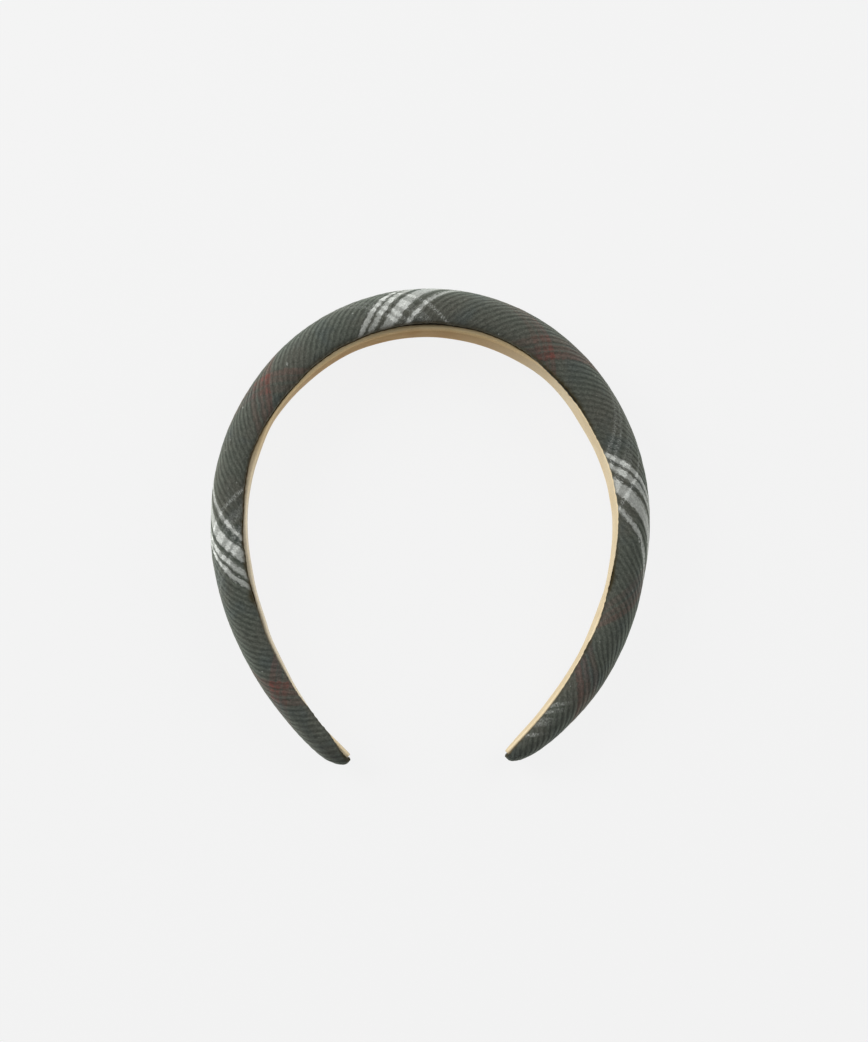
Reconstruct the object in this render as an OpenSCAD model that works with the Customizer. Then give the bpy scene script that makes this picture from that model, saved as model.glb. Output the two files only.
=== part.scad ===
// A padded headband lying on its side. Its arch is nearly level: the crown is
// towards +Y, both tips are towards -Y, and the head goes through along Z.
// All lengths are in millimetres and all angles in degrees.

/* [Arch] */
// Radius of the arc over the crown, to the inner face of the cover
crown_r = 62; // [54:0.5:72]
// Angle of the crown arc on each side of the top
crown_deg = 48; // [40:1:56]
// Radius of the arcs over the temples
side_r = 70; // [62:0.5:84]
// Angle of each side arc
side_deg = 51; // [44:1:56]
// Radius of the flatter arcs behind the ears
leg_r = 115; // [98:1:140]
// Angle of each leg arc
leg_deg = 39.5; // [30:0.5:42]

/* [Pad] */
// Width of the padded cover at the crown, from front edge to back edge
pad_w = 26; // [20:0.5:38]
// Thickness of the padded cover at the crown
pad_t = 14.2; // [10:0.1:20]
// Width of the cover where a tip begins to round off
tip_w = 12; // [9:0.5:18]
// Thickness of the cover where a tip begins to round off
tip_t = 5.8; // [5:0.1:9]
// Length over which each tip rounds off
nose_len = 12; // [8:0.5:18]

/* [Lining] */
// Bare cover on each side of the lining strap, at the crown
bare_edge = 4.2; // [2.5:0.1:6]
// Bare cover on each side of the lining strap, at the tips
bare_tip_edge = 1.8; // [1.2:0.1:3]
// Bare cover past each end of the lining strap
bare_end = 3; // [2:0.25:5]
// Thickness of the lining strap
lining_t = 2; // [1.4:0.1:2.6]
// How far the middle of the lining stands out of its groove
lining_proud = 0.9; // [0.3:0.05:1.2]
// Clearance all round the lining in its groove
fit_gap = 0.15; // [0.1:0.05:0.3]

/* [Hidden] */

// Sections of the cover from the crown to a tip. Width and thickness run from
// 1, the crown's, to 0, the tip's.
//          along   width  thickness
SECTIONS = [
    [0.00,  1.00,  1.00],
    [0.20,  0.87,  0.92],
    [0.40,  0.71,  0.74],
    [0.60,  0.54,  0.66],
    [0.80,  0.40,  0.55],
    [0.90,  0.28,  0.33],
    [0.95,  0.16,  0.15],
    [1.00,  0.00,  0.00]
];

// Soft swells and dents of the cloth. Along is a share of half the band, minus
// on the -X side; round is the angle from the outermost line over the upper
// edge; depth is a share of the local thickness; reach is a share of the half.
//          along  round  depth  reach
FOLDS = [
    [-0.48,    30,  0.035,  0.060],
    [-0.60,   140,  0.060,  0.050],
    [ 0.28,   150,  0.050,  0.090],
    [ 0.60,   145,  0.090,  0.060],
    [ 0.69,   140, -0.060,  0.040],
    [ 0.76,   145,  0.080,  0.035],
    [ 0.50,  -130,  0.060,  0.070]
];

// How narrowly a fold keeps to its own angle; higher is narrower
FOLD_FOCUS = 4;

// Share of the thickness at which the cover is widest
BELLY = 0.3;
// Roundness of the inner shoulders, where 2 is an ellipse
SHOULDER_POWER = 2.4;
// How far the groove walls and the strap edges lean in from lip to floor
DRAFT = 0.15;
// Radius of the strap's exposed edges, as a share of its thickness
EDGE_ROUND = 0.3;
// Points of that rounded edge, in edge radii: in from the side, down from the face
//         in   down
STRAP_EDGE = [
    [0.0,  1.50],
    [0.3,  0.60],
    [1.2,  0.10]
];
// Length over which the groove closes past the strap's end
GROOVE_RUNOUT = 0.6;
// Size of the blunt end of a tip, as a share of the section before it
BLUNT = 0.22;
// Shift of a tip's end away from the head, as a share of its thickness
TIP_LIFT = 0.22;

DOME_STEPS = 18;
SHOULDER_STEPS = 4;
BODY_RINGS = 36;
NOSE_RINGS = 5;
END_RINGS = 4;
TILT_MAX = 20;
TILT_ROUNDS = 18;

crown_len = crown_r * crown_deg * PI / 180;
side_len = side_r * side_deg * PI / 180;
half_len = crown_len + side_len + leg_r * leg_deg * PI / 180;
groove_depth = lining_t + fit_gap - lining_proud;
groove_end = bare_end - fit_gap;

// A point on an arc: start point, start angle, radius and the turn from there
function arc(from, angle, r, turn) =
    from + r * [sin(angle + turn) - sin(angle), cos(angle + turn) - cos(angle)];

side_start = crown_r * [sin(crown_deg), cos(crown_deg)];
leg_start = arc(side_start, crown_deg, side_r, side_deg);

// Turn of the arch, from the top, at a distance along one half
function turn_at(d) =
    d < crown_len ? d / crown_len * crown_deg :
    d < crown_len + side_len ? crown_deg + (d - crown_len) / side_len * side_deg :
    crown_deg + side_deg + (d - crown_len - side_len) / leg_r * 180 / PI;

function arch_at(d) =
    d < crown_len ? crown_r * [sin(turn_at(d)), cos(turn_at(d))] :
    d < crown_len + side_len ? arc(side_start, crown_deg, side_r, turn_at(d) - crown_deg) :
    arc(leg_start, crown_deg + side_deg, leg_r, turn_at(d) - crown_deg - side_deg);

// A smooth value between the rows of SECTIONS, from the slopes beside each row
function slope(i, col) =
    let (last = len(SECTIONS) - 1, a = SECTIONS[max(i - 1, 0)], b = SECTIONS[min(i + 1, last)])
    i == 0 ? 0 : (b[col] - a[col]) / (b[0] - a[0]);
function row_below(u, i = 0) = i >= len(SECTIONS) - 2 || SECTIONS[i + 1][0] > u ? i : row_below(u, i + 1);
function section(u, col) =
    let (i = row_below(u), a = SECTIONS[i], b = SECTIONS[i + 1], h = b[0] - a[0], t = (u - a[0]) / h)
    a[col] * (1 + 2 * t) * (1 - t) ^ 2 + slope(i, col) * h * t * (1 - t) ^ 2
    + b[col] * (3 - 2 * t) * t ^ 2 - slope(i + 1, col) * h * t ^ 2 * (1 - t);

// How much of the full section is left at a distance from the tip's end
function nose(e) = e >= nose_len ? 1 : BLUNT + (1 - BLUNT) * sqrt(1 - (1 - e / nose_len) ^ 2);

function width_share(d) = section(abs(d) / half_len, 1);
function cover_t(d) = nose(half_len - abs(d)) * (tip_t + (pad_t - tip_t) * section(abs(d) / half_len, 2));
function cover_half_w(d) = nose(half_len - abs(d)) * (tip_w + (pad_w - tip_w) * width_share(d)) / 2;
function bare_at(d) =
    nose(half_len - abs(d)) * (bare_tip_edge + (bare_edge - bare_tip_edge) * width_share(d));
function strap_half_w(d) = cover_half_w(d) - bare_at(d);
function inner_rise(d) = TIP_LIFT * tip_t * (1 - nose(half_len - abs(d)));

// A point beside the arch: distance along it, height above its inner face, place across
function beside(d, rise, across) =
    let (p = arch_at(abs(d)), t = turn_at(abs(d)), r = rise + inner_rise(d), s = sign(d) == 0 ? 1 : sign(d))
    [s * (p.x + r * sin(t)), p.y + r * cos(t), across];

// How far the folds push a point of the section out, as a share of its thickness
function window(x) = abs(x) >= 1 ? 0 : (1 - x ^ 2) ^ 2;
function fold_at(d, angle) =
    let (u = d / half_len)
    let (nearness = [for (f = FOLDS) window((u - f[0]) / f[3]) * max(0, cos(angle - f[1])) ^ FOLD_FOCUS])
    nearness * [for (f = FOLDS) f[2]];

// The cover's outline at one ring: over the dome, round the lower shoulder,
// through the groove and round the upper shoulder
function dome_point(d, angle) =
    let (t = cover_t(d), k = 1 + fold_at(d, angle))
    [BELLY * t + (1 - BELLY) * t * cos(angle) * k, cover_half_w(d) * sin(angle) * k];
function shoulder_point(d, step, side) =
    let (t = cover_t(d), lip = strap_half_w(d) + fit_gap, turn = 90 * step / SHOULDER_STEPS)
    let (drop = sin(turn) ^ (2 / SHOULDER_POWER), spread = cos(turn) ^ (2 / SHOULDER_POWER))
    let (push = step == SHOULDER_STEPS ? 0 : fold_at(d, side * (90 + turn / 2)) * t)
    [BELLY * t * (1 - drop) - push, side * (lip + (cover_half_w(d) - lip) * spread + push)];
function floor_rise(d) = half_len - abs(d) >= groove_end ? groove_depth : DRAFT;
function cover_outline(d) = concat(
    [for (i = [0:DOME_STEPS]) dome_point(d, 90 - 180 * i / DOME_STEPS)],
    [for (i = [1:SHOULDER_STEPS]) shoulder_point(d, i, -1)],
    [for (k = [-1, 0, 1]) [floor_rise(d), k * (strap_half_w(d) + fit_gap - DRAFT)]],
    [for (i = [SHOULDER_STEPS:-1:1]) shoulder_point(d, i, 1)]);

// The strap's outline at one ring: down one edge, over its floor and up the other
function strap_side(w, r, side) =
    [for (p = STRAP_EDGE) [p[1] * r - lining_proud, side * (w - p[0] * r)]];
function strap_outline(d) =
    let (w = strap_half_w(d), r = EDGE_ROUND * lining_t, floor = groove_depth - fit_gap)
    let (upper = strap_side(w, r, 1), lower = strap_side(w, r, -1))
    concat([[floor, w - DRAFT]], upper, [[-lining_proud, w / 2], [-lining_proud, -w / 2]],
        [for (i = [len(lower) - 1:-1:0]) lower[i]], [[floor, DRAFT - w]]);

// Distances of the rings along one half, crown first
body_marks = [for (i = [0:BODY_RINGS]) (half_len - nose_len) * i / BODY_RINGS];
nose_marks = [for (i = [1:NOSE_RINGS]) half_len - nose_len + (nose_len - bare_end) * i / NOSE_RINGS];
end_marks = [
    half_len - groove_end,
    for (i = [0:END_RINGS]) half_len - (groove_end - GROOVE_RUNOUT) * (1 - sin(90 * i / END_RINGS))
];
strap_half = concat(body_marks, nose_marks);
cover_half = concat(strap_half, end_marks);

function both_halves(half) = concat([for (i = [len(half) - 1:-1:1]) -half[i]], half);
function rings(marks, outlines) =
    [for (i = [0:len(marks) - 1], p = outlines[i]) beside(marks[i], p[0], p[1])];
function tube_faces(count, sides) = concat(
    [[for (k = [0:sides - 1]) k]],
    [for (i = [0:count - 2], k = [0:sides - 1], upper = [0, 1])
        let (a = i * sides + k, b = i * sides + (k + 1) % sides)
        upper == 0 ? [a, a + sides, b] : [b, a + sides, b + sides]],
    [[for (k = [sides - 1:-1:0]) (count - 1) * sides + k]]);

cover_marks = both_halves(cover_half);
cover_points = rings(cover_marks, [for (d = cover_marks) cover_outline(d)]);
strap_marks = both_halves(strap_half);
strap_points = rings(strap_marks, [for (d = strap_marks) strap_outline(d)]);

// The tilt at which the crown and the legs touch the surface together
function lowest(points, tilt, side) =
    min([for (p = points) if (side * p.y > 0) p.y * sin(tilt) + p.z * cos(tilt)]);
function rest_tilt(low, high, rounds) =
    let (mid = (low + high) / 2)
    rounds == 0 ? mid :
    lowest(cover_points, mid, 1) < lowest(cover_points, mid, -1) ? rest_tilt(mid, high, rounds - 1) :
    rest_tilt(low, mid, rounds - 1);
tilt = rest_tilt(0, TILT_MAX, TILT_ROUNDS);
rest_x = [for (p = cover_points) p.x];
rest_y = [for (p = cover_points) p.y * cos(tilt) - p.z * sin(tilt)];
rest_z = [for (p = cover_points) p.y * sin(tilt) + p.z * cos(tilt)];
rest_shift = -[(min(rest_x) + max(rest_x)) / 2, (min(rest_y) + max(rest_y)) / 2, min(rest_z)];

module at_rest() {
    translate(rest_shift) rotate([tilt, 0, 0]) children();
}

module padded_cover() {
    color([0.30, 0.33, 0.29]) at_rest()
        polyhedron(cover_points, tube_faces(len(cover_marks), len(cover_outline(0))));
}

module inner_lining() {
    color([0.83, 0.76, 0.64]) at_rest()
        polyhedron(strap_points, tube_faces(len(strap_marks), len(strap_outline(0))));
}

padded_cover();
inner_lining();
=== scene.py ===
"""Looks for a padded headband in ribbed tartan cloth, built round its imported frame."""

import math

import bmesh
import bpy
import numpy as np
from bpy.props import FloatProperty, FloatVectorProperty, PointerProperty
from mathutils import Matrix, Vector
from mathutils.kdtree import KDTree


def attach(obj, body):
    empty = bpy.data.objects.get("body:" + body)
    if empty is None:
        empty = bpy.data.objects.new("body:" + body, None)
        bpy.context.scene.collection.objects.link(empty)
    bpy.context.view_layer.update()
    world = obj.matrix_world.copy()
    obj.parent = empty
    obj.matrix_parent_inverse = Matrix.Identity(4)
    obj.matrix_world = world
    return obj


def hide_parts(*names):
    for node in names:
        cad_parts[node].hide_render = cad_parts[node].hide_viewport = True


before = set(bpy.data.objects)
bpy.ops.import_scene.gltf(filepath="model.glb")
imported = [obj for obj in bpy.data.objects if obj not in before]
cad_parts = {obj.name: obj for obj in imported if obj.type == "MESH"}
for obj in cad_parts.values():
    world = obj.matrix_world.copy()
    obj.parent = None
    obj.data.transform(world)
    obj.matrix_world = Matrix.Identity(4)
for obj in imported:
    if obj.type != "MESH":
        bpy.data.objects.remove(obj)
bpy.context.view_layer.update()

bl_info = {
    "name": "Padded headband",
    "version": (1, 0),
    "blender": (4, 5, 0),
    "location": "3D View > Sidebar > Headband",
    "description": "Ribbed tartan cover, suede lining and a plain stage for a padded headband",
    "category": "Object",
}

MM = 0.001

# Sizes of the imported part: radius in millimetres and turn in degrees of each arc of one half
ARCS = ((62.0, 48.0), (70.0, 51.0), (115.0, 39.5))
HALF_LENGTH = sum(radius * math.radians(turn) for radius, turn in ARCS)
PAD_WIDTH, TIP_WIDTH = 26.0, 12.0
PAD_THICKNESS, TIP_THICKNESS = 14.2, 5.8
NOSE_LENGTH, BLUNT, TIP_LIFT = 12.0, 0.22, 0.22
BARE_EDGE, BARE_TIP_EDGE = 4.2, 1.8
BELLY, SHOULDER_POWER = 0.3, 2.4
FIT_GAP, LINING_PROUD, GROOVE_DEPTH = 0.15, 0.9, 1.1
REST_TILT, REST_SHIFT = math.radians(1.96918), (0.0224659, 5.19058, 10.7156)
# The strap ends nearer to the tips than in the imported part, as the photograph shows
BARE_END = 1.3

# Sections from the crown to a tip, as shares
#            along  width  thickness
SECTIONS = (
    (0.00, 1.00, 1.00),
    (0.20, 0.87, 0.92),
    (0.40, 0.71, 0.74),
    (0.60, 0.54, 0.66),
    (0.80, 0.40, 0.55),
    (0.90, 0.28, 0.33),
    (0.95, 0.16, 0.15),
    (1.00, 0.00, 0.00),
)

# Swells and dents of the cloth: share along, degrees round from the outermost
# line, share of the thickness, share of the half that it reaches
FOLDS = (
    (-0.48, 30, 0.035, 0.060),
    (-0.60, 140, 0.060, 0.050),
    (0.28, 150, 0.050, 0.090),
    (0.60, 145, 0.090, 0.060),
    (0.69, 140, -0.060, 0.040),
    (0.76, 145, 0.080, 0.035),
    (0.50, -130, 0.025, 0.070),
)
FOLD_FOCUS = 4

# How the worn band leans off its true arch: millimetres along, then away from the head
LEAN = (
    (-193.5, 0.85), (-182, 0.84), (-168, 0.64), (-157, 0.45), (-146, 0.22), (-136, -0.03),
    (-125, -0.22), (-114, -0.30), (-103, -0.30), (-92, -0.03), (-80, 0.22), (-69, 0.25), (-58, 0.02),
    (-45, -0.12), (-30, -0.08), (-15, -0.35), (0, -0.55), (15, -0.45), (30, -0.25), (45, -0.08),
    (58, -0.22), (71, -0.22), (83, 0.06), (95, 0.35), (107, 0.10), (118, -0.09), (138, -0.15),
    (148, -0.15), (158, -0.34), (170, -0.70), (182, -0.88), (193.5, -0.88),
)
# Share by which the padding is fuller than the plain section
FULLNESS = (
    (-193.5, 0.09), (-187, 0.05), (-180, -0.05), (-168, -0.11), (-157, -0.11), (-146, -0.07),
    (-136, -0.02), (-125, 0.01), (-114, 0.01), (-103, -0.03), (-92, -0.05), (-80, -0.04), (-69, -0.04),
    (-45, -0.01), (-30, -0.01), (0, 0.02), (30, 0.015), (45, 0.005), (58, 0.03), (71, 0.04),
    (83, 0.015), (95, -0.02), (107, -0.01), (118, 0.02), (128, 0.06), (138, 0.075), (148, 0.065),
    (170, 0.06), (193.5, 0.06),
)

# Ribs of the cloth. Each table starts at the -X tip and gives millimetres along the
# upper lip, the count of ribs there, how far a rib runs along the band for each
# millimetre round it, and how much further over the outermost line. Warp ribs run one
# way and weft lines the other.
WARP = (
    (-193.5, -72.45, 0.53, 0.13), (-175, -63.79, 0.52, 0.25), (-157, -55.31, 0.47, 0.31),
    (-142, -47.89, 0.62, 0.34), (-127.4, -41.05, 0.79, 0.27), (-111.2, -34.55, 0.97, 0.17),
    (-92, -27.08, 1.03, 0.06), (-70, -17.69, 0.95, 0), (-48, -8.40, 0.91, 0.01),
    (-27.5, 0.06, 0.88, 0.04), (-11.8, 6.47, 0.90, 0.09), (12, 16.03, 0.94, 0.16),
    (34, 24.33, 0.86, 0.18), (56, 32.86, 0.87, 0.27), (77.8, 40.93, 0.89, 0.29),
    (96.4, 47.49, 0.87, 0.28), (115, 54.47, 0.95, 0.30), (130, 59.69, 1.06, 0.25),
    (145, 65.35, 1.11, 0.20), (157, 69.58, 1.20, 0.16), (175, 75.37, 1.23, 0.10),
    (193.5, 81.37, 1.26, 0.04),
)
WEFT = (
    (-193.5, -36, 1.30, 0.10), (-150.6, -17.35, 1.15, 0.10), (-107, 0, 1.03, 0.15),
    (-90.5, 6.45, 1.03, 0.15), (-46.8, 23.65, 0.89, 0.18), (-8.7, 41, 0.93, 0.20),
    (7, 47.45, 0.93, 0.20), (46.2, 64.65, 1, 0.20), (80.7, 82, 1.05, 0.18), (98.8, 88.45, 1.05, 0.18),
    (138.2, 105.65, 0.95, 0.12), (171.3, 123, 0.90, 0.10), (184.5, 129.45, 0.90, 0.10),
    (193.5, 133.8, 0.90, 0.10),
)
# How far the tartan's stripes drift off the count of ribs: millimetres along, then ribs
DRIFT = (
    (-193.5, 0), (-10, 0), (18, -0.2), (36, -0.6), (60, -0.1), (90, 0), (110, -0.8), (130, -2.3),
    (150, -2.8), (193.5, -2.8),
)
# Ribs in one sett of the tartan
SETT = 41.0
# Stripes of one sett, in ribs: first edge, last edge, pale share, red share, and how
# much of its pale yarn shows in the weft where the warp is dark
STRIPES = (
    (0.55, 1.40, 1.0, 0.0, 0.6),
    (2.00, 2.85, 1.0, 0.0, 0.6),
    (3.85, 5.65, 1.0, 0.0, 0.45),
    (7.12, 7.78, 1.0, 0.0, 1.0),
    (21.5, 22.8, 0.0, 0.5, 0.0),
    (23.4, 24.4, 0.0, 0.7, 0.0),
    (24.6, 25.9, 0.0, 1.0, 0.0),
)
# Where the sett starts, and how soft a stripe's edge is, in ribs
STRIPE_START, STRIPE_SOFT = 1.0, 0.12

# Mesh steps of the cover: rows along it, then columns from a tuck over the lip and the
# shoulder to the dome. Turns are in degrees.
ROWS_PER_RIB, TUCK_STEPS, DOME_STEPS = 8, 3, 30
LIP_TURNS = (0, 30, 60)
SHOULDER_TURNS = (90, 82, 72, 60, 47, 33, 20, 9)
EDGE_COLUMNS = TUCK_STEPS + len(LIP_TURNS) + len(SHOULDER_TURNS)
COLUMNS = 2 * EDGE_COLUMNS + DOME_STEPS + 1
LIP_COLUMN = TUCK_STEPS + 2
# The lip's radius and its room from the strap, in millimetres, the turn of the shoulder
# down to which the lip's set is felt, and the turn over which a fold begins
LIP_RADIUS, LIP_ROOM, LIP_REACH, FOLD_EASE = 0.45, 0.1, 35, 15
# How far the last rows lie from a tip, and the first rib's start from the -X tip
CAP_DISTANCES, START_MARGIN = (0.5, 0.34, 0.2, 0.1, 0.03, 0.0), 30.0
# Steps and rounds in which the ribs' lines are worked out
RULER_STEPS, LIP_STEPS, LINE_ROUNDS, LEAST_STEP = 520, 5000, 16, 1e-9
# How fast the way round may shrink towards the -X tip, so that no two ribs meet there
RULER_SLOPE = 1.0
# The cloth under the lining, and how its rows crowd towards a tip
FLOOR_BODY, FLOOR_TIP, FLOOR_COLUMNS, FLOOR_CROWD = 46, 14, 7, 1.5
# How the cloth closes over a tip: millimetres before and after the strap's end, its swell,
# and the shares by which the tucks and the cloth between them draw in
WRAP_REACH, WRAP_SWELL, TUCK_PULL, FLOOR_PULL = 0.4, 0.5, 0.15, 0.18
# Points nearer than this are one, in metres
MERGE = 1e-7

# Ribs: the seed of their heights, how round they are, and the share of their height by
# which the cloth sinks so that they end at the measured outline
RIB_SEED, RIB_ROUNDNESS, RIB_SINK = 7, 1.9, 0.6
# Wobble of the ribs: turns a rib, turns a millimetre round the band, start, ribs to a side
WOBBLE = (
    (0.31, 0.23, 0.3, 0.022), (0.17, -0.41, 1.9, 0.02), (0.47, 0.13, 4.1, 0.02),
    (0.11, 0.19, 2.6, 0.03), (0.71, -0.29, 5.2, 0.016), (0.23, 0.57, 0.9, 0.016),
)
# How much of the ribs is left from the bottom of a tuck on, and the millimetres over
# which they fade at a tip
TUCK_FADE = (0.0, 0.1, 0.25, 0.4, 0.6, 0.8, 0.95)
TIP_FADE = 3.0
# How strongly the ribs stand by the lips, and the share of the way to the outermost line
# at which they stand fully
LIP_STAND, STAND_REACH = 0.42, 0.75
# How far the lips of the cloth lie out from the strap's face: millimetres along, then
# millimetres at the upper and at the lower lip
LIP_SET = (
    (-193.5, 1.27, 0.3), (-190, 1.07, 0.2), (-186, 0.17, 0), (-181.5, -0.48, 0), (-177, -0.58, 0),
    (-171, -0.7, 0), (-163, -0.3, 0), (-155, -0.01, 0), (-146, 0.31, 0), (-138, 0.41, 0),
    (-129, 0.34, 0), (-120, 0.84, 0), (-111.5, 0.82, 0), (-103, 0.38, 0), (-94.5, 0.41, 0),
    (-86, 0.67, 0), (-76.5, 0.88, 0), (-67, 0.44, 0), (-58.5, 0.3, 0), (-50, 0.3, 0), (-41.5, 0.53, 0),
    (-33, 0.7, 0), (-24.5, 0.45, 0), (-16, 0.75, 0), (0, 1, 0), (15.5, 0.61, 0), (24, 0.25, 0),
    (32, 0.12, 0), (36, -0.35, 0), (40, -0.9, 0), (44, -1.15, 0), (48, -1.25, 0), (57, -1.3, 0),
    (61.5, -1.4, 0.05), (66, -1.25, 0.1), (73, -1.2, 0.3), (80, -0.85, 0.5), (86, -0.8, 0.57),
    (92, -0.85, 0.6), (97, -0.87, 0.59), (102, -0.86, 0.6), (107.5, -0.8, 0.74), (110.5, -0.68, 0.84),
    (113, -0.4, 0.9), (115.5, -0.26, 0.91), (118, -0.41, 0.9), (121, -0.66, 0.91), (123.5, -0.73, 0.9),
    (126, -0.63, 0.86), (128.5, -0.51, 0.8), (131.5, -0.42, 0.69), (134, -0.38, 0.59),
    (137, -0.24, 0.5), (141, -0.53, 0.41), (146, -0.72, 0.32), (150.5, -0.65, 0.25), (155, -0.87, 0.2),
    (160, -0.72, 0.18), (165, -0.6, 0.18), (169.5, -0.44, 0.19), (174, -0.29, 0.2), (179, -0.42, 0.2),
    (184, -0.2, 0.2), (190, 0.22, 0.2), (193.5, 0.52, 0.2),
)
# Fine waves of the upper lip: length, start, depth
LIP_WAVES = ((0.29, 0.3, 0.035), (0.47, 2.6, 0.04), (1.9, 0.7, 0.05), (3.3, 2.2, 0.07), (6.1, 4.0, 0.06))
# Painted shade of the crease between strap and cloth: millimetres along, how dark it is as a
# share that may pass 1, and the millimetres over which the cloth and the strap are dark
CREASE = (
    (-193.5, 0.9, 0.6, 0.35), (-178, 0.85, 0.6, 0.35), (-150, 0.75, 0.6, 0.4), (-133, 1, 0.7, 0.45),
    (-129, 1.6, 2.4, 0.6), (-125.5, 1.25, 0.9, 0.5), (-118, 1.2, 0.6, 0.5), (-100, 1.25, 0.6, 0.55),
    (-75, 1, 0.6, 0.6), (-62, 1.15, 0.7, 0.5), (-50, 1.25, 0.8, 0.35), (-33, 1.15, 0.7, 0.25),
    (0, 1, 0.7, 0.15), (30, 1.05, 0.7, 0.2), (40, 1.6, 1.2, 0.5), (52, 1.8, 1.5, 0.7),
    (64, 1.45, 1, 0.6), (74, 0.9, 0.7, 0.4), (85, 0.8, 0.6, 0.3), (100, 0.85, 0.5, 0.25),
    (113, 0.8, 0.5, 0.3), (118, 1, 0.7, 0.4), (121.5, 1.7, 1.6, 0.5), (125, 1.5, 1.4, 0.5),
    (129, 0.8, 0.6, 0.5), (150, 0.8, 0.6, 0.5), (193.5, 0.8, 0.6, 0.5),
)
# How the crease's painted shade fades on the strap and on the cloth, how far past the inner face
# it is gone from the strap's edge, and how dark the cloth's painted shade is by its two lips
CREASE_CURVE, SHADE_CURVE, CREASE_PAST = 0.8, 1.2, 0.5
LIP_SHADE, LOWER_SHADE = 0.9, 0.5
# How much the pale weft yarn breaks through: millimetres along, a share at the lip, a share
# beyond, and the part of the way to the outermost line over which it changes
THROUGH = (
    (-193.5, 1.4, 0.6, 0.7), (135, 1.4, 0.6, 0.7), (150, 2.2, 0.15, 0.5), (193.5, 2.2, 0.1, 0.45),
)
# The padding's simulated swell: voxel in metres, pressure, frames, and in millimetres how
# far a point may move and the run over which the even part is taken off
SWELL_VOXEL, SWELL_PRESSURE, SWELL_FRAMES = 0.003, 4.0, 20
SWELL_CAP, SWELL_RUN = 0.35, 9.0
# How near the strap a point is pinned and how much the nearest points count, in metres
SWELL_PIN, SWELL_NEAR, SWELL_NEAREST = 0.0035, MM / 2, 4
# Fine yarns to a rib
PICKS_PER_RIB = 3.0

# The lining's rounded edge, in millimetres: rise, then in from the side
LINING_EDGE = (
    (0.95, 0.42), (0.7, 0.36), (0.5, 0.34), (0.3, 0.33), (0.1, 0.32), (-0.1, 0.32), (-0.27, 0.35),
    (-0.43, 0.42), (-0.57, 0.53), (-0.7, 0.69), (-0.82, 1.0),
)
# Places across its face and its back, as shares, and rows along one half and its end
LINING_MIDDLE, LINING_UNDER = (0.85, 0.6, 0.3, 0.0, -0.3, -0.6, -0.85), (-0.5, 0.0, 0.5)
LINING_ROWS, LINING_END_ROWS = 160, 6
# The strap's rounded end: its radius in millimetres, and the least share left of it
LINING_END, LINING_LEAST = 1.6, 0.05
# Where the painted highlight along the strap's edge starts past the inner face, and over which run
RIM_START, RIM_RUN = 0.85, 0.7
# Between which places across the suede takes on a painted shade tint, in metres, and by how much at most
SHADE_TINT_SIDE, SHADE_TINT_MOST = (-0.05, -0.03), 0.7
# How much further the lining stands out: millimetres along, then millimetres
LINING_RISE = (
    (-193.5, -0.1), (-187, -0.3), (-181, -0.6), (-176, -0.6), (-168, -0.35), (-162, -0.2), (-157, 0.05),
    (-151, 0.05), (-146.5, -0.1), (-142, -0.1), (-138, 0.1), (-130, 0.05), (-125, 0), (-116.5, 0.15),
    (-103, 0.15), (-96, 0.15), (-88, 0.25), (-78, 0.25), (-66, -0.4), (-58, -0.2), (-45, 0.1), (0, 0.1),
    (15, 0.25), (30, 0.25), (40, -0.1), (55, 0), (65, 0.3), (80, 0.05), (88.5, -0.1), (94, -0.05),
    (98, -0.25), (103, -0.35), (107, -0.5), (118, -0.7), (125, -0.8), (131, -0.4), (148, -0.2),
    (160, 0), (193.5, 0),
)
# Fine waves of its face: length, start, depth
LINING_WAVES = ((9.3, 0.4, 0.04), (4.1, 2.1, 0.03), (2.3, 1.0, 0.015))

# The stage, in metres: the floor, and each light's place and size
FLOOR_SIZE, FLOOR_GAP = 30.0, 0.0002
KEY_LIGHT = (-0.8, 0.4, 0.6), 0.7
FILL_LIGHT = (0.75, 0.45, 0.7), 0.9
# What the camera aims at, its sensor in millimetres, the picture's height in pixels, and
# pixels a millimetre
AIM = (0.000445, 0.00012, 0.019)
SENSOR, IMAGE_HEIGHT, IMAGE_SCALE = 36.0, 1042, 2.952


def smooth(table, x, column=1):
    """Values of a table's column at x, on a smooth curve through its rows."""
    rows = np.array(table, float)
    at, value = rows[:, 0], rows[:, column]
    last = len(rows) - 1
    before, after = np.r_[0, :last], np.r_[1 : last + 1, last]
    slope = (value[after] - value[before]) / (at[after] - at[before])
    if table is SECTIONS:
        slope[0] = 0
    x = np.clip(x, at[0], at[-1])
    i = np.clip(np.searchsorted(at, x, side="right") - 1, 0, last - 1)
    h = at[i + 1] - at[i]
    t = (x - at[i]) / h
    return (
        value[i] * (1 + 2 * t) * (1 - t) ** 2
        + slope[i] * h * t * (1 - t) ** 2
        + value[i + 1] * (3 - 2 * t) * t**2
        - slope[i + 1] * h * t**2 * (1 - t)
    )


def eased(x):
    """A share from 0 to 1, eased at both ends."""
    return x * x * (3 - 2 * x)


def waves(table, x):
    """A sum of sine waves from a table of lengths, starts and depths."""
    return sum(depth * np.sin(x / length + start) for length, start, depth in table)


def arch(s):
    """Points and turns of the cover's inner face at signed distances s from the crown."""
    d = np.abs(s)
    x, y, turn = np.zeros_like(d), np.full_like(d, ARCS[0][0]), np.zeros_like(d)
    begun = turned = 0.0
    for k, (radius, degrees) in enumerate(ARCS):
        angle = math.radians(degrees)
        most = None if k == len(ARCS) - 1 else angle
        run = np.clip((d - begun) / radius, 0, most)
        x = x + radius * (np.sin(turned + run) - math.sin(turned))
        y = y + radius * (np.cos(turned + run) - math.cos(turned))
        turn = turn + run
        begun, turned = begun + radius * angle, turned + angle
    return np.where(s < 0, -x, x), y, np.where(s < 0, -turn, turn)


def nose(s):
    """How much of the full section is left near a tip."""
    e = np.clip((HALF_LENGTH - np.abs(s)) / NOSE_LENGTH, 0, 1)
    return BLUNT + (1 - BLUNT) * np.sqrt(np.clip(1 - (1 - e) ** 2, 0, 1))


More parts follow.
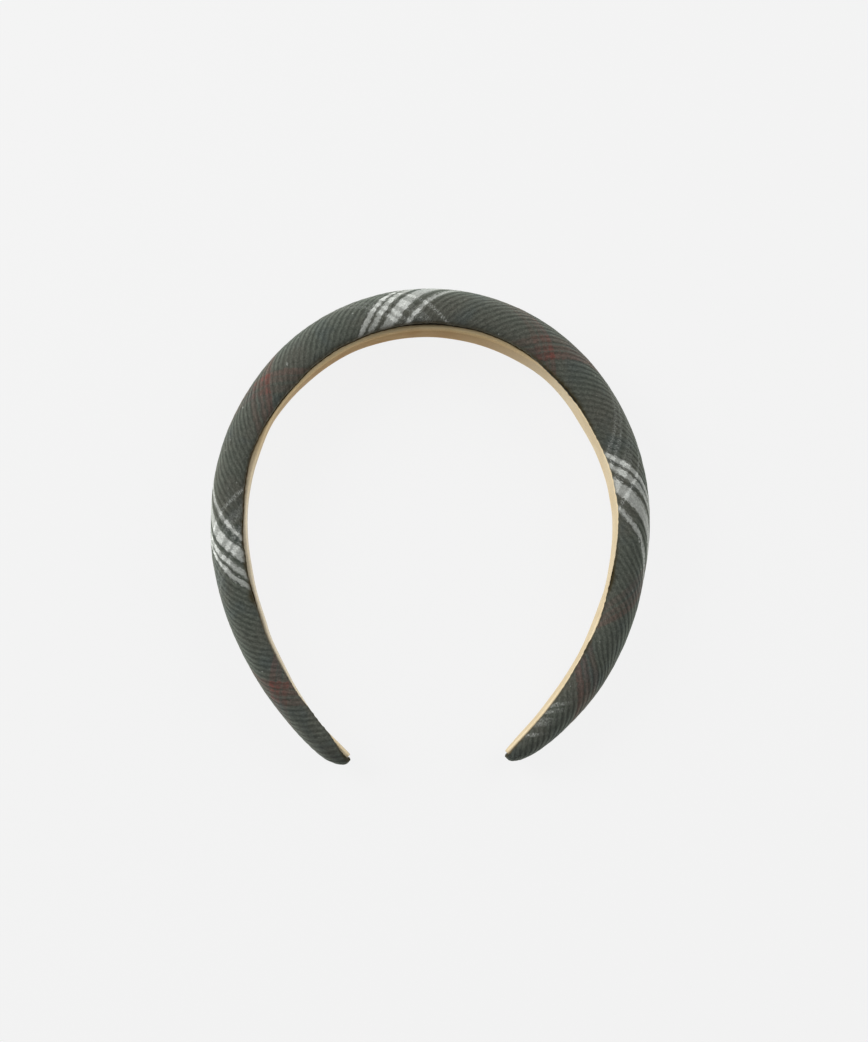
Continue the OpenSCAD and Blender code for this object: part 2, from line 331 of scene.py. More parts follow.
def sizes(s):
    """Thickness, half width and the lining's half width at distances s."""
    u = np.abs(s) / HALF_LENGTH
    wide, left = smooth(SECTIONS, u, 1), nose(s)
    thick = TIP_THICKNESS + (PAD_THICKNESS - TIP_THICKNESS) * smooth(SECTIONS, u, 2)
    half = (TIP_WIDTH + (PAD_WIDTH - TIP_WIDTH) * wide) / 2
    bare = BARE_TIP_EDGE + (BARE_EDGE - BARE_TIP_EDGE) * wide
    return left * thick * (1 + smooth(FULLNESS, s)), left * half, left * (half - bare)


def to_rest(p):
    """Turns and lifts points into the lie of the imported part, in metres."""
    c, k = math.cos(REST_TILT), math.sin(REST_TILT)
    x, y, z = p[..., 0], p[..., 1], p[..., 2]
    return MM * (np.stack([x, y * c - z * k, y * k + z * c], -1) + REST_SHIFT)


def place(s, rise, across):
    """Points at a distance along the band, a height off its inner face and a place across."""
    x, y, turn = arch(s)
    r = rise + TIP_LIFT * TIP_THICKNESS * (1 - nose(s)) + smooth(LEAN, s)
    return to_rest(np.stack([x + r * np.sin(turn), y + r * np.cos(turn), across + 0 * r], -1))


def fold(s, degrees):
    """How far the folds push the section out at an angle, as a share of its thickness."""
    push = np.zeros(np.broadcast(s, degrees).shape)
    for along, round_, depth, reach in FOLDS:
        x = (s / HALF_LENGTH - along) / reach
        near = np.where(np.abs(x) < 1, (1 - x**2) ** 2, 0)
        facing = np.maximum(0, np.cos(np.radians(degrees - round_))) ** FOLD_FOCUS
        push = push + depth * near * facing
    return push


def wrap_share(s):
    """0 where the lining's groove is open, 1 where the cloth wraps over a tip's end."""
    e = HALF_LENGTH - np.abs(s)
    return eased(np.clip((BARE_END + WRAP_REACH - e) / (2 * WRAP_REACH), 0, 1))


def edge_column(k, side, s, thick, half, lip, corner, out, wrapped):
    """Rise and place across of one column from the bottom of a tuck up to the dome: first
    the tuck, then the rounded lip of the cloth, then the shoulder."""
    if k < TUCK_STEPS:
        share = 1 - k / TUCK_STEPS
        deep = corner + out + (GROOVE_DEPTH - corner - out) * share
        flat = lip * (1 - TUCK_PULL * share)
        return deep * (1 - wrapped), lip + (flat - lip) * wrapped
    if k < TUCK_STEPS + len(LIP_TURNS):
        turn = math.radians(LIP_TURNS[k - TUCK_STEPS])
        rise = (corner * (1 - math.sin(turn)) + out) * (1 - wrapped)
        return rise, lip + corner * (1 - math.cos(turn))
    degrees = SHOULDER_TURNS[k - TUCK_STEPS - len(LIP_TURNS)]
    turn = math.radians(degrees)
    drop = math.sin(turn) ** (2 / SHOULDER_POWER)
    spread = max(math.cos(turn), 0) ** (2 / SHOULDER_POWER)
    push = fold(s, side * (90 + degrees / 2)) * thick * min(1, (90 - degrees) / FOLD_EASE)
    near = max(0, (degrees - LIP_REACH) / (90 - LIP_REACH))
    rise = BELLY * thick * (1 - drop) - push + out * eased(near) * (1 - wrapped)
    return rise, lip + corner + (half - lip - corner) * spread + push


def outline(s):
    """Rise and place across of the cover's outline, one column at a time, from the
    bottom of the upper tuck over the dome to the bottom of the lower tuck. s has the
    shape (rows, columns)."""
    thick, half, strap = sizes(s)
    lip, corner, wrapped = strap + FIT_GAP + LIP_ROOM, LIP_RADIUS * nose(s), wrap_share(s)
    upper, lower = smooth(LIP_SET, s, 1) + waves(LIP_WAVES, s), smooth(LIP_SET, s, 2)
    rise, across = np.zeros_like(s), np.zeros_like(s)
    for k in range(EDGE_COLUMNS):
        for side, j, out in ((1, k, upper), (-1, COLUMNS - 1 - k, lower)):
            column = [grid[:, j] for grid in (s, thick, half, lip, corner, out, wrapped)]
            rise[:, j], beside = edge_column(k, side, *column)
            across[:, j] = side * beside
    angle = np.linspace(90, -90, DOME_STEPS + 1)
    dome = slice(EDGE_COLUMNS, EDGE_COLUMNS + DOME_STEPS + 1)
    swollen = 1 + fold(s[:, dome], angle)
    arc = BELLY + (1 - BELLY) * np.cos(np.radians(angle)) * swollen
    rise[:, dome] = thick[:, dome] * arc
    across[:, dome] = half[:, dome] * np.sin(np.radians(angle)) * swollen
    return rise, across


def cloth_ruler():
    """Distances along and, per column, the cloth's length round the band from its upper
    lip, and that length as it counts most over the outermost line."""
    s = np.linspace(-HALF_LENGTH, HALF_LENGTH, RULER_STEPS)
    rise, across = outline(np.repeat(s[:, None], COLUMNS, 1))
    steps = np.hypot(np.diff(rise, axis=1), np.diff(across, axis=1))
    length = np.hstack([np.zeros((len(s), 1)), np.cumsum(steps, axis=1)])
    length = length - length[:, LIP_COLUMN, None]
    step = s[1] - s[0]
    for row in range(len(s) // 2, -1, -1):
        least = length[row + 1, -1] - RULER_SLOPE * step
        length[row] *= max(1, least / length[row, -1])
    whole = length[:, -1, None]
    return s, length, length - whole * np.sin(2 * math.pi * length / whole) / (2 * math.pi)


def by_column(s, at, grid):
    """Values at each point of s of a grid whose rows lie at the distances at."""
    return np.stack([np.interp(s[:, j], at, grid[:, j]) for j in range(s.shape[1])], 1)


def run_of(table, start, ruler, s):
    """How far a line that starts at the lip has run along the band by each point at s."""
    at, length, swing = ruler
    s = np.clip(s, -HALF_LENGTH, HALF_LENGTH)
    evenly = smooth(table, start, 2) * by_column(s, at, length)
    return evenly + smooth(table, start, 3) * by_column(s, at, swing)


def rib_count(table, s):
    """Count of ribs at the upper lip, running on at the same rate past both tips."""
    rows = np.array(table, float)
    count = smooth(table, s, 1)
    for end, nearby, beyond in ((0, 1, s < rows[0, 0]), (-1, -2, s > rows[-1, 0])):
        rate = (rows[end, 1] - rows[nearby, 1]) / (rows[end, 0] - rows[nearby, 0])
        count = np.where(beyond, rows[end, 1] + rate * (s - rows[end, 0]), count)
    return count


def rib_grid(ruler):
    """Distances along the band of a grid whose rows follow the ribs."""
    cap = HALF_LENGTH - CAP_DISTANCES[0]
    dense = np.linspace(-cap - START_MARGIN, cap, LIP_STEPS)
    count = rib_count(WARP, dense)
    low, high = math.floor(count[0] * ROWS_PER_RIB), math.ceil(count[-1] * ROWS_PER_RIB)
    start = np.interp(np.arange(low, high + 1) / ROWS_PER_RIB, count, dense)[:, None]
    s = np.repeat(start, COLUMNS, 1)
    for _ in range(LINE_ROUNDS):
        s = start + run_of(WARP, start, ruler, s)
    ends = np.repeat(HALF_LENGTH - np.array(CAP_DISTANCES)[:, None], COLUMNS, 1)
    return np.vstack([-ends[::-1], np.clip(s, -cap, cap), ends])


def ribs_at(table, s, ruler, way):
    """Count of ribs at each point of a grid whose columns are the ruler's. Way is 1 for
    the warp, which runs towards +s round the band, and -1 for the weft."""
    start = s
    for _ in range(LINE_ROUNDS):
        start = s - way * run_of(table, start, ruler, s)
    return rib_count(table, start)


def outward(s):
    """Rise and place across of the outline, and its outward direction in both."""
    rise, across = outline(s)
    from_left = outline(np.hstack([s[:, :1], s[:, :-1]]))
    from_right = outline(np.hstack([s[:, 1:], s[:, -1:]]))
    step = [
        np.hstack([ahead[:, 1:], here[:, -1:]]) - np.hstack([here[:, :1], behind[:, :-1]])
        for here, ahead, behind in zip((rise, across), from_left, from_right)
    ]
    length = np.maximum(np.hypot(*step), LEAST_STEP)
    return rise, across, -step[1] / length, step[0] / length


def relief(ribs):
    """Height of the cloth above its valleys at a count of ribs, each rib a little its own."""
    settings = bpy.context.scene.headband_cover
    number = np.rint(ribs).astype(int)
    uneven = np.random.default_rng(RIB_SEED).uniform(-1, 1, number.max() - number.min() + 1)
    height = 1 + settings.rib_unevenness * uneven[number - number.min()]
    return settings.rib_height / MM * height * (1 - (2 * np.abs(ribs - number)) ** RIB_ROUNDNESS)


def wobble(ribs, round_):
    """How far the ribs stray from their even count at places round the cloth."""
    return sum(
        far * np.sin(2 * math.pi * (a_rib * ribs + a_mm * round_) + start)
        for a_rib, a_mm, start, far in WOBBLE
    )


def way_round(ruler, s):
    """The cloth's length from its upper lip to each point, and to its lower lip."""
    at, length, _ = ruler
    return by_column(s, at, length), np.interp(s, at, length[:, -1])


def rib_stand(share):
    """How strongly the ribs stand at a share of the way round from lip to lip."""
    inward = np.clip((1 - np.abs(2 * share - 1)) / STAND_REACH, 0, 1)
    return LIP_STAND + (1 - LIP_STAND) * eased(inward)


def rib_fade(s):
    """1 where the ribs stand at full height, 0 in the tucks and at the very tips."""
    fade = np.ones(COLUMNS)
    fade[: len(TUCK_FADE)] = TUCK_FADE
    fade[-len(TUCK_FADE) :] = TUCK_FADE[::-1]
    return fade * np.clip((HALF_LENGTH - np.abs(s)) / TIP_FADE, 0, 1) ** 0.5


def zip_faces(first, first_at, second, second_at):
    """Triangles between two rows of vertices that run side by side along the band."""
    faces, i, j = [], 0, 0
    while i < len(first) - 1 or j < len(second) - 1:
        if j == len(second) - 1 or (i < len(first) - 1 and first_at[i + 1] <= second_at[j + 1]):
            faces.append((first[i], first[i + 1], second[j]))
            i += 1
        else:
            faces.append((first[i], second[j + 1], second[j]))
            j += 1
    return faces


def grid_faces(rows, wide, first=0):
    """Quads of a grid of vertices."""
    corner = (np.arange(rows - 1)[:, None] * wide + np.arange(wide - 1)).ravel() + first
    return np.stack([corner, corner + wide, corner + wide + 1, corner + 1], 1).tolist()


def new_piece(name, points, faces, **point_values):
    """A mesh object with named values on its points, merged, closed and facing outwards."""
    mesh = bpy.data.meshes.new(name)
    mesh.from_pydata(points.tolist(), [], faces)
    for key, value in point_values.items():
        mesh.attributes.new(key, "FLOAT", "POINT").data.foreach_set("value", value.astype(np.float32))
    shape = bmesh.new()
    shape.from_mesh(mesh)
    bmesh.ops.remove_doubles(shape, verts=shape.verts, dist=MERGE)
    bmesh.ops.delete(shape, geom=[v for v in shape.verts if not v.link_faces], context="VERTS")
    edges = [e for e in shape.edges if e.is_boundary]
    caps = bmesh.ops.holes_fill(shape, edges=edges, sides=0)["faces"]
    bmesh.ops.poke(shape, faces=caps)
    bmesh.ops.recalc_face_normals(shape, faces=shape.faces)
    shape.to_mesh(mesh)
    shape.free()
    for polygon in mesh.polygons:
        polygon.use_smooth = True
    piece = bpy.data.objects.new(name, mesh)
    bpy.context.scene.collection.objects.link(piece)
    return piece


def cloth_map(piece):
    """Lays out the cover's UV map from its ribs: one tile is one sett of the tartan."""
    mesh = piece.data
    corner = np.zeros(len(mesh.loops), int)
    mesh.loops.foreach_get("vertex_index", corner)
    uv = np.zeros((len(mesh.loops), 2))
    for column, key in enumerate(("warp", "weft")):
        value = np.zeros(len(mesh.vertices))
        mesh.attributes[key].data.foreach_get("value", value)
        uv[:, column] = value[corner] / SETT
        mesh.attributes.remove(mesh.attributes[key])
    mesh.uv_layers.new(name="cloth").data.foreach_set("uv", uv.astype(np.float32).ravel())


def both_ways(half, sign=-1):
    """Values from the crown to a tip, mirrored for the other half."""
    return np.concatenate([sign * half[:0:-1], half])


def floor_grid():
    """Distances along and points of the cloth under the lining, from its upper edge to
    its lower edge."""
    body = np.linspace(0, HALF_LENGTH - 2 * BARE_END, FLOOR_BODY)
    tip = HALF_LENGTH - 2 * BARE_END * (1 - np.linspace(0, 1, FLOOR_TIP)) ** FLOOR_CROWD
    at = both_ways(np.concatenate([body, tip[1:]]))
    share = np.linspace(1, -1, FLOOR_COLUMNS)
    s = np.repeat(at[:, None], FLOOR_COLUMNS, 1)
    wrapped = wrap_share(s)
    flat = (sizes(s)[2] + FIT_GAP) * (1 - FLOOR_PULL * wrapped)
    rise = GROOVE_DEPTH * (1 - wrapped) - WRAP_SWELL * wrapped * nose(s) * (1 - share**2)
    return at, place(s, rise, share * flat)


def cover_faces(s, at):
    """Faces of the cloth's grid and of the grid under the lining, and those that join
    their edges."""
    rows = len(s)
    faces = grid_faces(rows, COLUMNS) + grid_faces(len(at), FLOOR_COLUMNS, rows * COLUMNS)
    for column, edge in ((0, 0), (COLUMNS - 1, FLOOR_COLUMNS - 1)):
        run, first = np.unique(s[:, column], return_index=True)
        beside = rows * COLUMNS + np.arange(len(at)) * FLOOR_COLUMNS + edge
        faces += zip_faces((first * COLUMNS + column).tolist(), run, beside.tolist(), at)
    return faces


def ribs_under(table, at, ruler, way):
    """Counts of ribs across the cloth under the lining, from those at its two edges."""
    beside = ribs_at(table, np.repeat(at[:, None], COLUMNS, 1), ruler, way)
    share = np.linspace(0, 1, FLOOR_COLUMNS)
    return beside[:, :1] * (1 - share) + beside[:, -1:] * share


def cloth_shade(s, rise):
    """Painted shade of the cloth: full in the tucks, and less beyond the lips."""
    beyond = (rise - smooth(LIP_SET, s) - waves(LIP_WAVES, s)) / smooth(CREASE, s, 2)
    shade = LIP_SHADE * smooth(CREASE, s) * np.clip(1 - beyond, 0, 1) ** SHADE_CURVE
    shade[:, :LIP_COLUMN] = shade[:, 1 - LIP_COLUMN :] = 1
    shade[:, COLUMNS // 2 :] *= LOWER_SHADE
    return shade


def yarn_through(s, outer):
    """How much the pale weft yarn breaks through, by the way to the outermost line."""
    inward = eased(np.clip(outer / smooth(THROUGH, s, 3), 0, 1))
    return smooth(THROUGH, s, 1) * (1 - inward) + smooth(THROUGH, s, 2) * inward


def make_cover():
    """The padded cover: a closed form whose cloth follows its ribs all the way round."""
    ruler = cloth_ruler()
    s = rib_grid(ruler)
    rise, across, out_rise, out_across = outward(s)
    warp, weft = ribs_at(WARP, s, ruler, 1), ribs_at(WEFT, s, ruler, -1)
    round_, whole = way_round(ruler, s)
    warp = warp + wobble(warp, round_)
    bold, fade = rib_stand(round_ / whole), rib_fade(s)
    sink = RIB_SINK * bpy.context.scene.headband_cover.rib_height / MM
    push = relief(warp) * bold * fade - sink + padding_swell(place(s, rise, across)) * fade
    cloth = place(s, rise + out_rise * push, across + out_across * push)
    at, under = floor_grid()
    outer = 1 - np.abs(2 * round_ / whole - 1)
    # Values of the cloth, and of the cloth under the lining
    values = {
        # Painted shade: the tucks and the cloth beside the lips made dark
        "tuck": (cloth_shade(s, rise), 1),
        "rib": (warp, 0),
        "bold": (bold, 0),
        "warp": (warp + smooth(DRIFT, s), ribs_under(WARP, at, ruler, 1)),
        "weft": (weft, ribs_under(WEFT, at, ruler, -1)),
        "outer": (outer, 0),
        "through": (yarn_through(s, outer), 0),
    }
    for key, (shown, hidden) in values.items():
        hidden = np.broadcast_to(hidden, under.shape[:2])
        values[key] = np.concatenate([shown.ravel(), hidden.ravel()])
    points = np.vstack([cloth.reshape(-1, 3), under.reshape(-1, 3)])
    cover = new_piece("cover_cloth", points, cover_faces(s, at), **values)
    cloth_map(cover)
    return cover


def nearest_of(points):
    """A tree that finds the nearest of some points."""
    tree = KDTree(len(points))
    for i, point in enumerate(points):
        tree.insert(point, i)
    tree.balance()
    return tree


def vertex_values(mesh, key):
    """Places or normals of a mesh's vertices."""
    values = np.zeros(3 * len(mesh.vertices))
    mesh.vertices.foreach_get(key, values)
    return values.reshape(-1, 3)


def trial_pad():
    """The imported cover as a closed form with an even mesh, for the simulation."""
    pad = bpy.data.objects.new("swell_trial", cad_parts["padded_cover"].data.copy())
    bpy.context.scene.collection.objects.link(pad)
    merged = bmesh.new()
    merged.from_mesh(pad.data)
    bmesh.ops.remove_doubles(merged, verts=merged.verts, dist=MERGE)
    merged.to_mesh(pad.data)
    merged.free()
    remesh = pad.modifiers.new("remesh", "REMESH")
    remesh.mode, remesh.voxel_size = "VOXEL", SWELL_VOXEL
    evened = pad.evaluated_get(bpy.context.evaluated_depsgraph_get())
    pad.data = bpy.data.meshes.new_from_object(evened)
    pad.modifiers.remove(remesh)
    return pad


def simulated_swell():
    """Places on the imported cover, and how far its cloth swells there when the padding
    presses on it from inside, held along the strap. In metres."""
    pad = trial_pad()
    start, normal = vertex_values(pad.data, "co"), vertex_values(pad.data, "normal")
    strap = nearest_of([vertex.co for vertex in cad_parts["inner_lining"].data.vertices])
    pinned = [i for i, point in enumerate(start) if strap.find(point)[2] < SWELL_PIN]
    pad.vertex_groups.new(name="held").add(pinned, 1.0, "REPLACE")
    cloth = pad.modifiers.new("swell", "CLOTH")
    cloth.settings.use_pressure = True
    cloth.settings.uniform_pressure_force = SWELL_PRESSURE
    cloth.settings.effector_weights.gravity = 0
    cloth.settings.vertex_group_mass = "held"
    for step in range(1, SWELL_FRAMES + 1):
        bpy.context.scene.frame_set(step)
    ended = pad.evaluated_get(bpy.context.evaluated_depsgraph_get()).to_mesh()
    moved = vertex_values(ended, "co") - start
    bpy.data.objects.remove(pad)
    bpy.context.scene.frame_set(1)
    return start, np.sum(moved * normal, axis=1)


def swell_near(tree, swell, point):
    """The simulated swell at a point, from the trial's points nearest to it."""
    found = tree.find_n(point, SWELL_NEAREST)
    weight = [1 / (distance + SWELL_NEAR) for _, _, distance in found]
    return sum(w * swell[index] for w, (_, index, _) in zip(weight, found)) / sum(weight)


def padding_swell(points):
    """How far the padding pushes the cloth out at each point, in millimetres: the
    uneven part of the simulated swell."""
    rows, columns = points.shape[:2]
    start, swell = simulated_swell()
    tree = nearest_of(start)
    result = np.array([swell_near(tree, swell, point) for point in points.reshape(-1, 3)])
    result = result.reshape(rows, columns) / MM
    reach = int(3 * SWELL_RUN / HALF_LENGTH * rows / 2)
    window = np.exp(-np.linspace(-2, 2, 2 * reach + 1) ** 2)
    window /= window.sum()
    padded = np.pad(result, ((reach, reach), (0, 0)), mode="edge")
    even = np.stack([np.convolve(padded[:, j], window, mode="valid") for j in range(columns)], 1)
    return np.clip(result - even, -SWELL_CAP, SWELL_CAP)


def lining_rows():
    """Distances along the strap, and the share of its rounded end that is left at each."""
    body = np.linspace(0, HALF_LENGTH - BARE_END - LINING_END, LINING_ROWS)
    turn = np.linspace(0, math.pi / 2, LINING_END_ROWS)[1:]
    half = np.concatenate([body, body[-1] + LINING_END * np.sin(turn)])
    size = np.concatenate([np.ones(len(body)), np.maximum(np.cos(turn), LINING_LEAST)])
    return both_ways(half), both_ways(size, 1)


def lining_section(strap):
    """Rise and place across of the strap's section: the upper edge, the face, the lower
    edge and the back."""
    fullness = bpy.context.scene.headband_lining.fullness / MM
    edge = [(rise, strap - inward) for rise, inward in LINING_EDGE]
    face = [(-LINING_PROUD - fullness * (1 - k * k), k * edge[-1][1]) for k in LINING_MIDDLE]
    back = [(GROOVE_DEPTH - FIT_GAP, k * edge[0][1]) for k in LINING_UNDER]
    ring = edge + face + [(rise, -across) for rise, across in edge[::-1]] + back
    rise, across = zip(*ring)
    return np.stack([r + 0 * strap for r in rise], 1), np.stack(across, 1)


def lining_values(at, rise):
    """How dark the strap's painted shade is in the crease, where its upper and lower edges are,
    and where the painted highlight along their rims lies."""
    lip = smooth(LIP_SET, at) + waves(LIP_WAVES, at)
    depth = (rise - lip[:, None]) / smooth(CREASE, at, 3)[:, None] + 1
    # Painted shade in the crease beside the cloth
    crease = np.clip(depth, 0, 1) ** CREASE_CURVE * smooth(CREASE, at)[:, None]
    top, rim_highlight = np.zeros(rise.shape), np.zeros(rise.shape)
    share = np.clip([1 + height / CREASE_PAST for height, _ in LINING_EDGE], 0, 1)
    last = rise.shape[1] - len(LINING_UNDER)
    upper, lower = slice(0, len(LINING_EDGE)), slice(last - len(LINING_EDGE), last)
    for edge, left in ((upper, share), (lower, share[::-1])):
        top[:, edge] = 1
        # Painted highlight along each edge of the strap
        rim_highlight[:, edge] = np.clip((rise[:, edge] + RIM_START) / RIM_RUN, 0, 1)
        crease[:, edge] *= left
    crease[:, upper.stop : lower.start] = 0
    return {"crease": crease.ravel(), "top": top.ravel(), "rim_highlight": rim_highlight.ravel()}


def make_lining():
    """The soft strap along the inner face, with rounded edges and a slightly full middle."""
    at, size = lining_rows()
    rise, across = lining_section(sizes(at)[2] - LINING_END * (1 - size))
    stand = waves(LINING_WAVES, at) - smooth(LINING_RISE, at)
    rise = rise + stand[:, None] * (rise < 0)
    wide = rise.shape[1]
    points = place(np.repeat(at[:, None], wide, 1), rise, across)
    rows, ring = np.arange(len(at) - 1)[:, None] * wide, np.arange(wide)
    ahead = (ring + 1) % wide
    faces = np.stack([rows + ring, rows + wide + ring, rows + wide + ahead, rows + ahead], -1)
    faces = faces.reshape(-1, 4).tolist()
    return new_piece("lining_strap", points.reshape(-1, 3), faces, **lining_values(at, rise))


def add_node(tree, kind, wires=(), **settings):
    """A shader node with its settings, and its inputs set or linked by name or place."""
    node = tree.nodes.new(kind)
    for key, value in settings.items():
        setattr(node, key, value)
    for key, value in dict(wires).items():
        if isinstance(value, bpy.types.NodeSocket):
            tree.links.new(value, node.inputs[key])
        else:
            node.inputs[key].default_value = value
    return node


def maths(tree, operation, *values):
    """The result of a Math node on up to three values or sockets."""
    return add_node(tree, "ShaderNodeMath", enumerate(values), operation=operation).outputs[0]


def times(tree, first, second, plus=None):
    """Two values multiplied, with a third added to them."""
    if plus is None:
        return maths(tree, "MULTIPLY", first, second)
    return maths(tree, "MULTIPLY_ADD", first, second, plus)


def ranged(tree, value, low, high, to_low=0.0, to_high=1.0):
    """A value eased from one range to another, and held at its ends."""
    wires = {"Value": value, "From Min": low, "From Max": high, "To Min": to_low, "To Max": to_high}
    node = add_node(tree, "ShaderNodeMapRange", wires, interpolation_type="SMOOTHSTEP")
    return node.outputs["Result"]


def mixed(tree, share, first, second, blend="MIX"):
    """Two colours mixed by a share. A colour is a socket or a plain RGB value."""
    wires = {0: share, 6: first, 7: second}
    for key in (6, 7):
        if not isinstance(wires[key], bpy.types.NodeSocket):
            wires[key] = (*wires[key], 1)
    return add_node(tree, "ShaderNodeMix", wires, data_type="RGBA", blend_type=blend).outputs[2]


def lit(tree, colour, light):
    """A colour made lighter or darker by a value."""
    return mixed(tree, 1.0, colour, light, "MULTIPLY")


def attribute(tree, name):
    """A named value of a piece's points."""
    return add_node(tree, "ShaderNodeAttribute", attribute_name=name).outputs["Fac"]


def noise(tree, vector, scale, detail=2.0, rough=0.5):
    """A noise value from 0 to 1 at a vector."""
    wires = {"Vector": vector, "Scale": scale, "Detail": detail, "Roughness": rough}
    return add_node(tree, "ShaderNodeTexNoise", wires).outputs[0]


def bump(tree, shader, height, strength, distance):
    """Lets a height show as relief in a shader's light."""
    wires = {"Height": height, "Strength": strength, "Distance": distance}
    node = add_node(tree, "ShaderNodeBump", wires)
    tree.links.new(node.outputs[0], shader.inputs["Normal"])


def new_material(name, **looks):
    """A material with a Principled shader alone, and its tree and shader. Looks are the
    shader's inputs, with spaces written as underscores."""
    material = bpy.data.materials.new(name)
    material.use_nodes = True
    tree = material.node_tree
    tree.nodes.clear()
    wires = {key.replace("_", " "): value for key, value in looks.items()}
    shader = add_node(tree, "ShaderNodeBsdfPrincipled", wires)
    add_node(tree, "ShaderNodeOutputMaterial", {"Surface": shader.outputs[0]})
    return material, tree, shader


def stripe_masks(tree, tiles):
    """Pale and red shares of the yarn at a place in the sett, and how much it breaks through."""
    place_in_sett = maths(tree, "FRACT", maths(tree, "ADD", tiles, STRIPE_START / SETT))
    ramp = add_node(tree, "ShaderNodeValToRGB", {"Fac": place_in_sett})
    stops = ramp.color_ramp.elements
    ramp.color_ramp.interpolation = "LINEAR"
    for stop, at in zip(stops, (0.0, 1.0)):
        stop.position, stop.color = at, (0, 0, 0, 1)
    for first, last, *shares in STRIPES:
        for edge, inside in ((first, 1), (last, -1)):
            for at, on in ((edge - STRIPE_SOFT, inside < 0), (edge + STRIPE_SOFT, inside > 0)):
                stops.new(at / SETT).color = (*(share * on for share in shares), 1)
    return add_node(tree, "ShaderNodeSeparateColor", {"Color": ramp.outputs[0]}).outputs[:3]


def stripe_shares(tree, warp, weft, along_rib, ribs_apart):
    """Where the warp's pale yarn, the pale cloth and the red cloth show."""
    mottle = noise(tree, along_rib, 0.9, 3.0, 0.6)
    broken = noise(tree, along_rib, 2.1, 2.0, 0.5)
    notch = times(tree, noise(tree, along_rib, 1.3, 1.0), 0.9 / SETT, -0.45 / SETT)
    warp_pale, warp_red, _ = stripe_masks(tree, maths(tree, "ADD", warp, notch))
    weft_pale, weft_red, weft_through = stripe_masks(tree, maths(tree, "SUBTRACT", weft, notch))
    both = times(tree, warp_pale, weft_pale)
    speck = times(tree, weft_through, ranged(tree, broken, 0.44, 0.6, 0.04, 0.6))
    speck = times(tree, speck, ranged(tree, ribs_apart, 0.1, 0.4, 1.0, 0.45))
    speck = times(tree, speck, attribute(tree, "through"))
    pale = times(tree, warp_pale, 0.5, speck)
    pale = times(tree, both, ranged(tree, mottle, 0.35, 0.6, 0.28, 0.5), pale)
    red = times(tree, weft_red, 0.16, times(tree, warp_red, 0.2))
    red = times(tree, times(tree, warp_red, weft_red), 0.2, red)
    red = times(tree, red, ranged(tree, mottle, 0.35, 0.6, 0.6, 1.3))
    return warp_pale, maths(tree, "MINIMUM", pale, 0.97), red, mottle


def ground_colour(tree, on_band, patch, mottle, ridge_highlight):
    """The dark yarns of the cloth: green-grey in warmer and cooler patches, with a painted highlight on the
    rib tops.
    """
    settings = bpy.context.scene.headband_cover
    cool = noise(tree, on_band, 90.0, 2.0)
    ground = mixed(tree, ranged(tree, patch, 0.38, 0.62), settings.ground, settings.ground_warm)
    ground = mixed(tree, ranged(tree, cool, 0.5, 0.72, 0.0, 0.5), ground, settings.ground_cool)
    ground = lit(tree, ground, ranged(tree, mottle, 0.3, 0.7, 0.75, 1.28))
    # Painted highlight: the rib tops mixed towards a lighter ground colour
    return mixed(tree, times(tree, ridge_highlight, 0.36), ground, settings.ridge_highlight)


